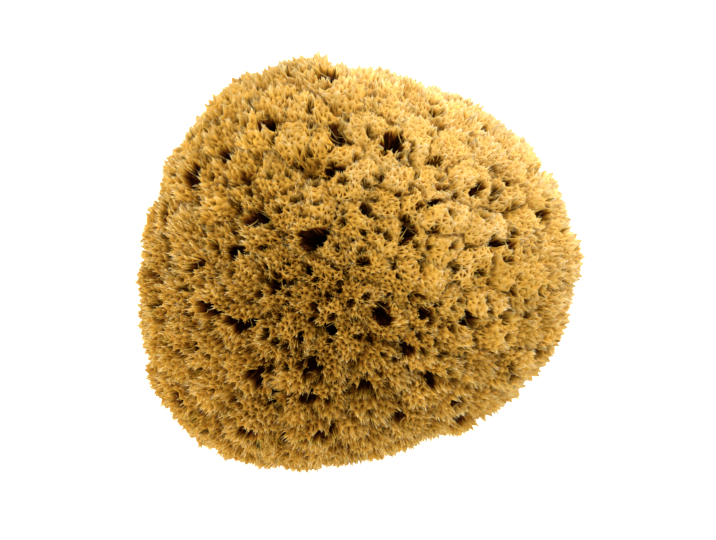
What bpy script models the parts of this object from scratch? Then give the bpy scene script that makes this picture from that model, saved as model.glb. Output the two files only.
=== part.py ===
"""A natural wool sponge for the bath, dried and trimmed.

It grew as one piece: a round cushion of springy fibre, cut from the sea floor with a knife, so that its
underside is a flat cut. The round side bears close-set pointed tufts, gathered in low lobes, and the wide
pores that it breathed through. It rests on the cut, with +Z up. The origin is the middle of the cut's plane
under the whole form. Seen from above, +X is to the right and +Y up the page.
"""

import math

import bmesh
import bpy
import numpy as np
from mathutils import Vector
from mathutils.geometry import delaunay_2d_cdt

MM = 0.001

# The whole form, measured to the tips of the tufts
HEIGHT = 92 * MM
WIDEST_AT = 36 * MM  # height above the cut where the sponge is widest
ROUND_BELOW = 48 * MM  # how far the round form ran on below that place, before it was cut
SHOULDER = 2.25  # roundness of the dome: 2 is an ellipse, more is fuller
# How far the tips reach from the middle, every 30 degrees from +X towards +Y
REACH = [74.5 * MM, 71.5 * MM, 66.5 * MM, 67.5 * MM, 75.0 * MM, 73.5 * MM,
         75.0 * MM, 81.5 * MM, 79.5 * MM, 68.5 * MM, 66.5 * MM, 71.5 * MM]  # fmt: skip

# Broad swells, which fade out towards the widest place, where the reach is set above
SWELLS = 6
SWELL_RISE = 1.3 * MM
SWELL_WAVES = (3, 6)  # range of the waves' turns of phase, in radians for each radius of the form

# Lobes, the low cushions that the tufts are gathered in
LOBES = 300
LOBE_RISE = 2.4 * MM
LOBE_SOFTNESS = 0.55  # how far in from the groove a lobe is still rising, as a share of its width
LOBE_JITTER = 0.35  # how far a lobe is off its regular place, as a share of their spacing

# Tufts, each a point that stands on one cell of the surface
TUFTS = 1430
TUFT_LENGTH = 4.6 * MM
TUFT_SPREAD = 0.3  # how much lengths differ, as a share of the length
SITE_JITTER = 0.3  # how far a tuft is off its regular place, as a share of their spacing
SHORTEST_EDGE = 0.4 * MM  # corners nearer to each other than this are one corner
MAP_MERGE = 1e-9  # sites nearer than this on the flat map would be one

# The wide pores of the top: (x, y, width), seen from above
PORES = [
    (-15.4 * MM, 8.6 * MM, 8.5 * MM),
    (-41.8 * MM, -20.8 * MM, 6.5 * MM),
    (-31.7 * MM, 47.2 * MM, 7.0 * MM),
    (10.0 * MM, 42.2 * MM, 6.0 * MM),
    (15.7 * MM, 10.7 * MM, 6.0 * MM),
    (2.3 * MM, 16.3 * MM, 4.5 * MM),
    (25.8 * MM, 20.0 * MM, 5.0 * MM),
    (38.6 * MM, 24.0 * MM, 4.5 * MM),
    (52.0 * MM, 27.7 * MM, 5.0 * MM),
    (49.0 * MM, 5.4 * MM, 6.0 * MM),
    (8.0 * MM, -17.8 * MM, 6.5 * MM),
    (20.7 * MM, -18.5 * MM, 5.0 * MM),
    (36.8 * MM, -20.0 * MM, 6.5 * MM),
    (15.5 * MM, -30.7 * MM, 5.0 * MM),
    (45.9 * MM, -36.2 * MM, 5.0 * MM),
    (24.6 * MM, -40.8 * MM, 5.5 * MM),
    (32.6 * MM, -47.0 * MM, 5.5 * MM),
    (1.5 * MM, -43.4 * MM, 6.0 * MM),
    (12.7 * MM, -53.8 * MM, 5.0 * MM),
    (19.7 * MM, 0.4 * MM, 5.0 * MM),
    (-35.7 * MM, 15.0 * MM, 6.5 * MM),
    (-43.1 * MM, 3.3 * MM, 6.0 * MM),
    (-55.0 * MM, 20.7 * MM, 6.0 * MM),
    (-48.0 * MM, 37.0 * MM, 5.5 * MM),
    (-8.9 * MM, 45.0 * MM, 4.5 * MM),
    (-8.4 * MM, 32.6 * MM, 6.0 * MM),
    (-17.0 * MM, 28.5 * MM, 5.0 * MM),
    (-58.0 * MM, -1.0 * MM, 6.0 * MM),
    (-29.5 * MM, -8.5 * MM, 5.0 * MM),
    (-17.3 * MM, -2.5 * MM, 5.0 * MM),
    (-52.5 * MM, -15.9 * MM, 6.0 * MM),
    (-10.8 * MM, -23.6 * MM, 7.0 * MM),
    (-21.3 * MM, -27.0 * MM, 5.0 * MM),
    (-57.0 * MM, -30.0 * MM, 5.5 * MM),
    (-16.8 * MM, -37.5 * MM, 5.5 * MM),
    (-35.0 * MM, -38.5 * MM, 5.0 * MM),
    (-31.2 * MM, -46.5 * MM, 5.5 * MM),
    (-18.3 * MM, -46.5 * MM, 5.5 * MM),
    (-13.3 * MM, -58.9 * MM, 5.5 * MM),
]
PORE_DEPTH = 13 * MM
PORE_TAPER = 0.55  # width at a pore's end as a share of its mouth
WIDEST_MOUTH = 0.92  # of the cell that it opens in
TOP_ROUNDS = 12  # enough for a pore's place on the dome to settle
LEAST_HEIGHT = 1 * MM  # a top pore is at least this far above the widest place

# More pores go round the flanks, on a spiral between these slopes below and above the horizon
FLANK_PORES = 44
FLANK_FROM = math.radians(-12)
FLANK_TO = math.radians(24)
FLANK_PORE_WIDTH = 5.0 * MM
FLANK_PORE_SPREAD = 0.25  # how much their widths differ, as a share of the width
FLANK_PORE_WAVE = 2.4  # radians of that wave from one pore to the next
PORE_CLEARANCE = 2.6 * MM  # from a pore's edge to the middle of the next tuft
PORE_SPACING = 1.6  # least distance between two pores, in half widths with the clearance

# Canals that the knife laid open in the flat cut, on a sunflower spiral
CANALS = 17
CANAL_FIELD = 36 * MM  # radius of the part of the cut that has them
CANAL_WIDTHS = (10 * MM, 6.5 * MM, 8 * MM, 5.5 * MM)  # taken in turn
CANAL_DEPTH = 15 * MM
CANAL_DEPTH_SPREAD = 0.3  # how much their depths differ, as a share of the depth
CANAL_DEPTH_WAVE = 1.7  # radians of that wave from one canal to the next
CANAL_FIRST_TURN = 0.4  # radians from +X to the innermost canal
CANAL_END = 0.6  # width at a canal's end as a share of its mouth
CANAL_SIDES = 10
KNIFE_OVERLAP = 2 * MM  # how far the canals' cutters reach below the cut

SEED = 11
GOLDEN_ANGLE = math.pi * (3 - math.sqrt(5))


def spiral_directions(count):
    """Unit vectors spread evenly over a sphere: equal steps of height, each turned by the golden angle."""
    steps = np.arange(count)
    height = 1 - (2 * steps + 1) / count
    across = np.sqrt(1 - height**2)
    turn = GOLDEN_ANGLE * steps
    return np.stack([across * np.cos(turn), across * np.sin(turn), height], axis=1)


def jittered(directions, share, rng):
    """The directions, each moved off its place by up to a share of the spacing between neighbours."""
    spacing = math.sqrt(4 * math.pi / len(directions))
    moved = directions + rng.uniform(-share, share, directions.shape) * spacing
    return moved / np.linalg.norm(moved, axis=1, keepdims=True)


def reach_at(azimuth):
    """The outline seen from above: a smooth closed curve through the values of REACH, by cosine waves."""
    waves = np.fft.rfft(REACH) / len(REACH)
    radius = np.full_like(azimuth, waves[0].real)
    for k, wave in enumerate(waves[1:], start=1):
        share = 1 if 2 * k == len(REACH) else 2
        radius += share * (wave.real * np.cos(k * azimuth) - wave.imag * np.sin(k * azimuth))
    return radius


def round_form(directions):
    """Distance from the heart to the tips' envelope: two half super-ellipsoids, met at the widest place."""
    flat = np.linalg.norm(directions[:, :2], axis=1)
    azimuth = np.arctan2(directions[:, 1], directions[:, 0])
    rise = np.where(directions[:, 2] > 0, HEIGHT - WIDEST_AT, ROUND_BELOW)
    across = (flat / reach_at(azimuth)) ** SHOULDER
    upward = (np.abs(directions[:, 2]) / rise) ** SHOULDER
    return (across + upward) ** (-1 / SHOULDER)


def swell(directions, rng):
    """Broad unevenness, about -1 to 1: cosine waves that run through the form in random directions."""
    total = np.zeros(len(directions))
    for _ in range(SWELLS):
        wave = rng.normal(size=3)
        wave *= rng.uniform(*SWELL_WAVES) / np.linalg.norm(wave)
        total += np.cos(directions @ wave + rng.uniform(0, 2 * math.pi))
    return total / 2


def lobe(directions, centres):
    """0 in the grooves between lobes and 1 on their tops, from the gap between the two nearest centres."""
    nearness = np.sort(directions @ centres.T, axis=1)
    nearest = np.arccos(np.clip(nearness[:, -1], -1, 1))
    second = np.arccos(np.clip(nearness[:, -2], -1, 1))
    width = math.sqrt(4 * math.pi / len(centres))
    rise = np.clip((second - nearest) / (LOBE_SOFTNESS * width), 0, 1)
    return np.sqrt(rise * (2 - rise))


def make_envelope():
    """Returns a function that gives, for directions from the heart, the distance to the tufts' tips there."""
    rng = np.random.default_rng(SEED)
    centres = jittered(spiral_directions(LOBES), LOBE_JITTER, rng)
    swell_seed = int(rng.integers(1 << 30))

    def envelope(directions):
        uneven = swell(directions, np.random.default_rng(swell_seed)) * SWELL_RISE
        radius = round_form(directions) + uneven * np.abs(directions[:, 2])
        return radius - LOBE_RISE * (1 - lobe(directions, centres))

    return envelope


def top_direction(x, y, envelope):
    """The direction from the heart to the place on the top that lies at x, y when seen from above.

    The height there isn't known at first: each round takes it from the direction of the last one.
    """
    height = HEIGHT - WIDEST_AT
    for _ in range(TOP_ROUNDS):
        direction = np.array([[x, y, height]])
        direction /= np.linalg.norm(direction)
        height = max(float(envelope(direction)[0] * direction[0, 2]), LEAST_HEIGHT)
    return direction[0]


def pore_layout(envelope):
    """(direction, width) of every pore: those of the top, and a spiral of them round the flanks."""
    layout = [(top_direction(x, y, envelope), width) for x, y, width in PORES]
    for i in range(FLANK_PORES):
        share = (i + 0.5) / FLANK_PORES
        slope = math.asin(math.sin(FLANK_FROM) + share * (math.sin(FLANK_TO) - math.sin(FLANK_FROM)))
        turn = GOLDEN_ANGLE * i
        level = math.cos(slope)
        direction = np.array([level * math.cos(turn), level * math.sin(turn), math.sin(slope)])
        width = FLANK_PORE_WIDTH * (1 + FLANK_PORE_SPREAD * math.sin(FLANK_PORE_WAVE * i))
        gap = (PORE_CLEARANCE + width / 2) / float(envelope(direction[None])[0])
        if all(np.arccos(np.clip(direction @ other, -1, 1)) > PORE_SPACING * gap for other, _ in layout):
            layout.append((direction, width))
    return layout


def tuft_sites(pores, envelope, rng):
    """Directions of the tufts, spread evenly and a little at random, with none inside or beside a pore."""
    sites = jittered(spiral_directions(TUFTS), SITE_JITTER, rng)
    distance = envelope(sites)
    clear = np.ones(len(sites), bool)
    for direction, width in pores:
        apart = np.arccos(np.clip(sites @ direction, -1, 1)) * distance
        clear &= apart > width / 2 + PORE_CLEARANCE
    return sites[clear]


def cells_of(sites):
    """The surface shared out among the sites, each place going to the nearest site.

    The triangles between neighbouring sites are found on a flat map of the sphere drawn from its foot, which
    keeps circles round. The last site is the foot itself: it is off the map, and beyond all of the map's rim.
    A cell's corners are the middles of the triangles round its site. Returns the corners, and for each site
    its ring of corners.
    """
    flat_map = [Vector(site[:2] / (1 + site[2])) for site in sites[:-1]]
    triangles = delaunay_2d_cdt(flat_map, [], [], 0, MAP_MERGE)[2]
    net = bmesh.new()
    points = [net.verts.new(site) for site in sites]
    for triangle in triangles:
        net.faces.new([points[i] for i in triangle])
    net.verts.index_update()
    for edge in [edge for edge in net.edges if edge.is_boundary]:
        rim = edge.link_loops[0]
        net.faces.new([rim.link_loop_next.vert, rim.vert, points[-1]])
    net.faces.index_update()
    a, b, c = (sites[[face.verts[k].index for face in net.faces]] for k in range(3))
    corners = np.cross(b - a, c - a)
    corners /= np.linalg.norm(corners, axis=1, keepdims=True)
    rings = []
    for point in points:
        first = point.link_loops[0]
        ring = [first.face.index]
        corner = first.link_loop_prev.link_loop_radial_next
        while corner != first:
            ring.append(corner.face.index)
            corner = corner.link_loop_prev.link_loop_radial_next
        rings.append(ring)
    net.free()
    return corners, rings


def middle_of(ring):
    """The mean place of a ring of vertices."""
    return sum((v.co for v in ring), Vector()) / len(ring)


def add_tuft(bm, ring, length, heart):
    """A pointed tuft on one cell: a point over its middle, standing straight out from the heart."""
    middle = middle_of(ring)
    tip = bm.verts.new(middle + (middle - heart).normalized() * length)
    for i in range(len(ring)):
        bm.faces.new([ring[i], ring[(i + 1) % len(ring)], tip])


def add_pore(bm, ring, width, heart):
    """A pore in one cell: the cell drawn in to the pore's mouth, then a narrowing well towards the heart."""
    middle = middle_of(ring)
    inward = (heart - middle).normalized()
    cell_radius = sum((v.co - middle).length for v in ring) / len(ring)
    mouth_share = min(width / 2 / cell_radius, WIDEST_MOUTH)
    mouth = [bm.verts.new(middle + (v.co - middle) * mouth_share) for v in ring]
    end = [bm.verts.new(middle + (v.co - middle) * PORE_TAPER + inward * PORE_DEPTH) for v in mouth]
    for outer, inner in ((ring, mouth), (mouth, end)):
        for i in range(len(ring)):
            j = (i + 1) % len(ring)
            bm.faces.new([outer[i], outer[j], inner[j], inner[i]])
    bm.faces.new(end)


def round_side():
    """The whole round form before it was cut: tufts on most cells of the surface, and wells for the pores."""
    rng = np.random.default_rng(SEED + 1)
    envelope = make_envelope()
    pores = pore_layout(envelope)
    sites = tuft_sites(pores, envelope, rng)
    foot = np.array([0, 0, -1.0])
    corners, rings = cells_of(np.array([direction for direction, _ in pores] + list(sites) + [foot]))
    lengths = TUFT_LENGTH * rng.uniform(1 - TUFT_SPREAD, 1 + TUFT_SPREAD, len(sites) + 1)
    heart = Vector((0, 0, WIDEST_AT))
    floor_of_tufts = envelope(corners) - TUFT_LENGTH
    bm = bmesh.new()
    surface = [bm.verts.new(heart + Vector(d * r)) for d, r in zip(corners, floor_of_tufts)]
    for ring, (_, width) in zip(rings, pores):
        add_pore(bm, [surface[i] for i in ring], width, heart)
    for ring, length in zip(rings[len(pores):], lengths):
        add_tuft(bm, [surface[i] for i in ring], length, heart)
    bmesh.ops.remove_doubles(bm, verts=bm.verts, dist=SHORTEST_EDGE)
    bmesh.ops.triangulate(bm, faces=bm.faces)
    return bm


def knife():
    """What the knife took away: everything below the cut."""
    bm = bmesh.new()
    slab = bmesh.ops.create_cube(bm, size=1)
    side = 3 * max(REACH)
    depth = 2 * ROUND_BELOW
    bmesh.ops.scale(bm, vec=(side, side, depth), verts=slab["verts"])
    bmesh.ops.translate(bm, vec=(0, 0, -depth / 2), verts=slab["verts"])
    return bm


def canals():
    """Blunt cones that stand up into the sponge from below its cut, one for each canal."""
    bm = bmesh.new()
    for i in range(CANALS):
        width = CANAL_WIDTHS[i % len(CANAL_WIDTHS)]
        distance = CANAL_FIELD * math.sqrt((i + 0.5) / CANALS)
        turn = GOLDEN_ANGLE * i + CANAL_FIRST_TURN
        depth = CANAL_DEPTH * (1 + CANAL_DEPTH_SPREAD * math.sin(CANAL_DEPTH_WAVE * i))
        cone = bmesh.ops.create_cone(bm, cap_ends=True, segments=CANAL_SIDES, radius1=width / 2,
                                     radius2=CANAL_END * width / 2, depth=depth + KNIFE_OVERLAP)  # fmt: skip
        place = (distance * math.cos(turn), distance * math.sin(turn), (depth - KNIFE_OVERLAP) / 2)
        bmesh.ops.translate(bm, vec=place, verts=cone["verts"])
    return bm


def new_object(name, bm):
    """An object of that name with the mesh of bm."""
    mesh = bpy.data.meshes.new(name)
    bm.to_mesh(mesh)
    bm.free()
    made = bpy.data.objects.new(name, mesh)
    bpy.context.scene.collection.objects.link(made)
    return made


def new_cutter(name, bm):
    """A guide that a Boolean takes away. It isn't part of the model."""
    cutter = new_object(name, bm)
    cutter.hide_render = True
    cutter.display_type = "WIRE"
    return cutter


def centre_over_origin(bm):
    """Moves the form sideways so that the middle of its bounds is over the origin."""
    places = np.array([v.co for v in bm.verts if v.co.z > 0])
    middle = (places.min(axis=0) + places.max(axis=0)) / 2
    bmesh.ops.translate(bm, vec=(-middle[0], -middle[1], 0), verts=bm.verts)


def fibre_material():
    """Dry spongin fibre, honey brown and matt."""
    material = bpy.data.materials.new("fibre")
    material.use_nodes = True
    shader = material.node_tree.nodes["Principled BSDF"]
    shader.inputs["Base Color"].default_value = (0.62, 0.36, 0.09, 1)
    shader.inputs["Roughness"].default_value = 0.85
    shader.inputs["Metallic"].default_value = 0
    return material


def main():
    for old in list(bpy.data.objects):
        bpy.data.objects.remove(old)
    form = round_side()
    centre_over_origin(form)
    sponge = new_object("sponge", form)
    sponge.data.materials.append(fibre_material())
    for name, cutter in (("knife", knife()), ("canals", canals())):
        cut = sponge.modifiers.new(name, "BOOLEAN")
        cut.operation = "DIFFERENCE"
        cut.solver = "EXACT"
        cut.object = new_cutter(name + "_cutter", cutter)


main()
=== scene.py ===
"""A natural wool sponge for the bath, lying on a white table and seen from straight above.

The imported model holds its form. Here it gets its fibre: the felt of small tufts, webs and pits with the wide
pores between them, the strands that stand on the tufts, the threads across the pores, and the porous cut that
it rests on.
"""

import math

import bpy
import numpy as np
from mathutils.geometry import delaunay_2d_cdt
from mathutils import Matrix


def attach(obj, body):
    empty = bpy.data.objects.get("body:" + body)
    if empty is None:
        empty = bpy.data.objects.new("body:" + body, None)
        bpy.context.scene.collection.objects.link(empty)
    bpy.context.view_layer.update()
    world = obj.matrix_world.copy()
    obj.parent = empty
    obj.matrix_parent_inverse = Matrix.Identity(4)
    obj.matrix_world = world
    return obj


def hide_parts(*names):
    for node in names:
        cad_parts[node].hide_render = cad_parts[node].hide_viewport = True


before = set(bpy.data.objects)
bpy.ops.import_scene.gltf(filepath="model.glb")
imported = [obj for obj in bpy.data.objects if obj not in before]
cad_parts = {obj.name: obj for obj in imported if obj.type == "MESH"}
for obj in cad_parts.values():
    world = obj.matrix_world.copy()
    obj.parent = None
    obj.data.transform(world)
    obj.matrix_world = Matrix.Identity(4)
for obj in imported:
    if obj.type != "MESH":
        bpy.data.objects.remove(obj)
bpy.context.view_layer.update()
MM = 0.001

# Camera
# The photo looks straight down through a long lens. Its top edge is towards +Y. The sponge is a little above
# the middle of the frame.
PHOTO_WIDTH = 716  # pixels
PIXEL = 150 * MM / 443  # what one of them spans at the sponge's widest place
SUBJECT_HEIGHT = 36 * MM  # the widest place, above the table
CAMERA_HEIGHT = 1600 * MM
CAMERA_ASIDE = (0 * PIXEL, -3 * PIXEL)
SENSOR_WIDTH = 36
VIEW_END = 10  # metres from the camera

camera_data = bpy.data.cameras.new("camera")
camera_data.sensor_width = SENSOR_WIDTH
camera_data.lens = SENSOR_WIDTH * (CAMERA_HEIGHT - SUBJECT_HEIGHT) / (PHOTO_WIDTH * PIXEL)
camera_data.clip_end = VIEW_END
camera = bpy.data.objects.new("camera", camera_data)
camera.location = (*CAMERA_ASIDE, CAMERA_HEIGHT)
bpy.context.scene.collection.objects.link(camera)
bpy.context.scene.camera = camera

# Light
# Even white light from all round, with a large soft lamp beyond the top right corner of the picture and a
# weaker one beyond the lower left corner.
SKY_STRENGTH = 0.98
LAMP_PLACE = (0.88, 1.23, 0.70)
LAMP_SIZE = 1.4
LAMP_POWER = 26
FILL_PLACE = (-0.92, -0.60, 0.50)
FILL_POWER = 19

world = bpy.data.worlds.new("studio")
world.use_nodes = True
world.node_tree.nodes["Background"].inputs["Color"].default_value = (1, 1, 1, 1)
world.node_tree.nodes["Background"].inputs["Strength"].default_value = SKY_STRENGTH
bpy.context.scene.world = world
bpy.context.scene.view_settings.view_transform = "Standard"

for name, place, power in (("lamp", LAMP_PLACE, LAMP_POWER), ("fill", FILL_PLACE, FILL_POWER)):
    lamp_data = bpy.data.lights.new(name, "AREA")
    lamp_data.size = LAMP_SIZE
    lamp_data.energy = power
    lamp = bpy.data.objects.new(name, lamp_data)
    lamp.location = place
    lamp.rotation_euler = (-lamp.location).to_track_quat("-Z", "Y").to_euler()
    bpy.context.scene.collection.objects.link(lamp)

# Table
# A sheet of white paper, far wider than the view. It shines of itself, so that the sponge leaves no shadow
# on it, as in the photo.
TABLE_WIDTH = 4.0
PAPER = (0.92, 0.92, 0.92, 1)
PAPER_ROUGHNESS = 0.9
PAPER_GLOW = 1.0

table_mesh = bpy.data.meshes.new("table")
half = TABLE_WIDTH / 2
corners = [(-half, -half, 0), (half, -half, 0), (half, half, 0), (-half, half, 0)]
table_mesh.from_pydata(corners, [], [(0, 1, 2, 3)])
table = bpy.data.objects.new("table", table_mesh)
bpy.context.scene.collection.objects.link(table)
paper = bpy.data.materials.new("paper")
paper.use_nodes = True
paper_shader = paper.node_tree.nodes["Principled BSDF"]
paper_shader.inputs["Base Color"].default_value = PAPER
paper_shader.inputs["Roughness"].default_value = PAPER_ROUGHNESS
paper_shader.inputs["Emission Color"].default_value = (1, 1, 1, 1)
paper_shader.inputs["Emission Strength"].default_value = PAPER_GLOW
table_mesh.materials.append(paper)

# Fibre
# Dry spongin, the springy horn-like fibre that the whole sponge is made of. Its colours go by depth below the
# tips: pale straw at the tips, honey gold on the tufts, and red-brown to nearly black down in the pores. The
# darkening with depth is painted shade.
PAINTED_SHADE_COLOURS = (
    (0.00, (0.008, 0.002, 0.0005, 1)),
    (0.16, (0.095, 0.020, 0.002, 1)),
    (0.34, (0.190, 0.056, 0.004, 1)),
    (0.52, (0.385, 0.174, 0.011, 1)),
    (0.70, (0.650, 0.360, 0.045, 1)),
    (0.86, (0.728, 0.470, 0.128, 1)),
    (1.00, (0.805, 0.640, 0.375, 1)),
)
TONE_DARK = (0.62, 0.56, 0.45, 1)  # times the shade, for the darkest fibres and the palest
TONE_LIGHT = (1.10, 1.10, 1.17, 1)
ROUGH_DEEP = 0.9
ROUGH_TIPS = 0.65
GRAIN = 900  # of the fibres that a tuft is felted from, to the metre
GRAIN_DETAIL = 3
GRAIN_HEIGHT = 0.2 * MM
GLOSS = 0.03
SOFTNESS = 0.32  # the share of light that goes into the fibre and comes out beside
SOFT_REACH = 1.5 * MM
SOFT_COLOUR = (1.0, 0.6, 0.25)

fibre = bpy.data.materials.new("fibre")
fibre.use_nodes = True
nodes = fibre.node_tree.nodes
links = fibre.node_tree.links
shader = nodes["Principled BSDF"]
# The attribute "height" holds the painted shade: darker with depth below the tips, in the grooves, among the
# tufts and down in the pits and pores. The attribute "tone" holds the fibre's own tone, and on the tufts,
# strands and threads also painted light on the side towards the lamp and painted shade on the side away from
# it.
painted_shade_of = nodes.new("ShaderNodeAttribute")
painted_shade_of.attribute_name = "height"
tone_of = nodes.new("ShaderNodeAttribute")
tone_of.attribute_name = "tone"
shades = nodes.new("ShaderNodeValToRGB")
while len(shades.color_ramp.elements) < len(PAINTED_SHADE_COLOURS):
    shades.color_ramp.elements.new(0.5)
for element, (place, colour) in zip(shades.color_ramp.elements, PAINTED_SHADE_COLOURS):
    element.position = place
    element.color = colour
tones = nodes.new("ShaderNodeValToRGB")
tones.color_ramp.elements[0].color = TONE_DARK
tones.color_ramp.elements[1].color = TONE_LIGHT
tint = nodes.new("ShaderNodeMix")
tint.data_type = "RGBA"
tint.blend_type = "MULTIPLY"
tint.inputs["Factor"].default_value = 1
links.new(painted_shade_of.outputs["Fac"], shades.inputs["Fac"])
links.new(tone_of.outputs["Fac"], tones.inputs["Fac"])
links.new(shades.outputs["Color"], tint.inputs["A"])
links.new(tones.outputs["Color"], tint.inputs["B"])
links.new(tint.outputs["Result"], shader.inputs["Base Color"])
roughness = nodes.new("ShaderNodeMapRange")
roughness.inputs["To Min"].default_value = ROUGH_DEEP
roughness.inputs["To Max"].default_value = ROUGH_TIPS
links.new(painted_shade_of.outputs["Fac"], roughness.inputs["Value"])
links.new(roughness.outputs["Result"], shader.inputs["Roughness"])
place_of = nodes.new("ShaderNodeTexCoord")
grain = nodes.new("ShaderNodeTexNoise")
grain.inputs["Scale"].default_value = GRAIN
grain.inputs["Detail"].default_value = GRAIN_DETAIL
relief = nodes.new("ShaderNodeBump")
relief.inputs["Distance"].default_value = GRAIN_HEIGHT
links.new(place_of.outputs["Object"], grain.inputs["Vector"])
links.new(grain.outputs["Fac"], relief.inputs["Height"])
links.new(relief.outputs["Normal"], shader.inputs["Normal"])
shader.inputs["Specular IOR Level"].default_value = GLOSS
shader.inputs["Subsurface Weight"].default_value = SOFTNESS
shader.inputs["Subsurface Radius"].default_value = SOFT_COLOUR
shader.inputs["Subsurface Scale"].default_value = SOFT_REACH

# The form as grown
# One round cushion about a heart that its tufts stand out from, cut flat below. These are the sizes and the
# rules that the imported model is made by, so the skin here lies where that one does.
HEIGHT = 92 * MM
WIDEST_AT = 36 * MM  # above the cut
ROUND_BELOW = 48 * MM  # how far the form ran on below that place, before it was cut
SHOULDER = 2.25  # 2 is an ellipse, more is fuller
REACH = [74.5 * MM, 71.5 * MM, 66.5 * MM, 67.5 * MM, 75.0 * MM, 73.5 * MM,
         75.0 * MM, 81.5 * MM, 79.5 * MM, 68.5 * MM, 66.5 * MM, 71.5 * MM]  # fmt: skip
SWELLS = 6
SWELL_RISE = 1.3 * MM
SWELL_WAVES = (3, 6)  # radians for each radius of the form
LOBES = 300
LOBE_RISE = 2.4 * MM
LOBE_SOFTNESS = 0.55  # how far in from the groove a lobe is still rising, as a share of its width
LOBE_JITTER = 0.35
LOT = 20000  # directions whose lobes are looked for at once
SEED = 11
GOLDEN_ANGLE = math.pi * (3 - math.sqrt(5))
heart = np.array([0.8 * MM, 1.2 * MM, WIDEST_AT])


def spiral_directions(count):
    """Unit vectors spread evenly over a sphere: equal steps of height, each turned by the golden angle."""
    steps = np.arange(count)
    height = 1 - (2 * steps + 1) / count
    across = np.sqrt(1 - height**2)
    turn = GOLDEN_ANGLE * steps
    return np.stack([across * np.cos(turn), across * np.sin(turn), height], axis=1)


def jittered(directions, share, rng):
    """The directions, each moved off its place by up to a share of the spacing between neighbours."""
    spacing = math.sqrt(4 * math.pi / len(directions))
    moved = directions + rng.uniform(-share, share, directions.shape) * spacing
    return moved / np.linalg.norm(moved, axis=1, keepdims=True)


def reach_at(azimuth):
    """The outline seen from above: a smooth closed curve through the values of REACH, by cosine waves."""
    waves = np.fft.rfft(REACH) / len(REACH)
    radius = np.full_like(azimuth, waves[0].real)
    for k, wave in enumerate(waves[1:], start=1):
        share = 1 if 2 * k == len(REACH) else 2
        radius += share * (wave.real * np.cos(k * azimuth) - wave.imag * np.sin(k * azimuth))
    return radius


def round_form(directions):
    """Distance from the heart to the tips' envelope: two half super-ellipsoids, met at the widest place."""
    flat = np.linalg.norm(directions[:, :2], axis=1)
    azimuth = np.arctan2(directions[:, 1], directions[:, 0])
    rise = np.where(directions[:, 2] > 0, HEIGHT - WIDEST_AT, ROUND_BELOW)
    across = (flat / reach_at(azimuth)) ** SHOULDER
    upward = (np.abs(directions[:, 2]) / rise) ** SHOULDER
    return (across + upward) ** (-1 / SHOULDER)


def swell(directions, rng):
    """Broad unevenness, about -1 to 1: cosine waves that run through the form in random directions."""
    total = np.zeros(len(directions))
    for _ in range(SWELLS):
        wave = rng.normal(size=3)
        wave *= rng.uniform(*SWELL_WAVES) / np.linalg.norm(wave)
        total += np.cos(directions @ wave + rng.uniform(0, 2 * math.pi))
    return total / 2


form_rng = np.random.default_rng(SEED)
lobe_centres = jittered(spiral_directions(LOBES), LOBE_JITTER, form_rng)
swell_seed = int(form_rng.integers(1 << 30))


def smooth_form(directions):
    """Distance from the heart to the tips' envelope, with the broad swells and without the lobes."""
    uneven = swell(directions, np.random.default_rng(swell_seed)) * SWELL_RISE
    return round_form(directions) + uneven * np.abs(directions[:, 2])


def lobes_at(directions):
    """For each direction, how far up its lobe it is, from 0 in a groove to 1, and the lobe's number.

    The rise comes from the gap between the angles to the two nearest lobe centres. Directions are taken in
    lots, to keep the tables of angles small.
    """
    rise = np.empty(len(directions))
    number = np.empty(len(directions), int)
    width = math.sqrt(4 * math.pi / LOBES)
    for start in range(0, len(directions), LOT):
        part = slice(start, start + LOT)
        nearness = directions[part] @ lobe_centres.T
        number[part] = nearness.argmax(axis=1)
        top_two = np.partition(nearness, -2, axis=1)[:, -2:]
        second, nearest = np.arccos(np.clip(top_two, -1, 1)).T
        gap = np.clip((second - nearest) / (LOBE_SOFTNESS * width), 0, 1)
        rise[part] = np.sqrt(gap * (2 - gap))
    return rise, number


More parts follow.
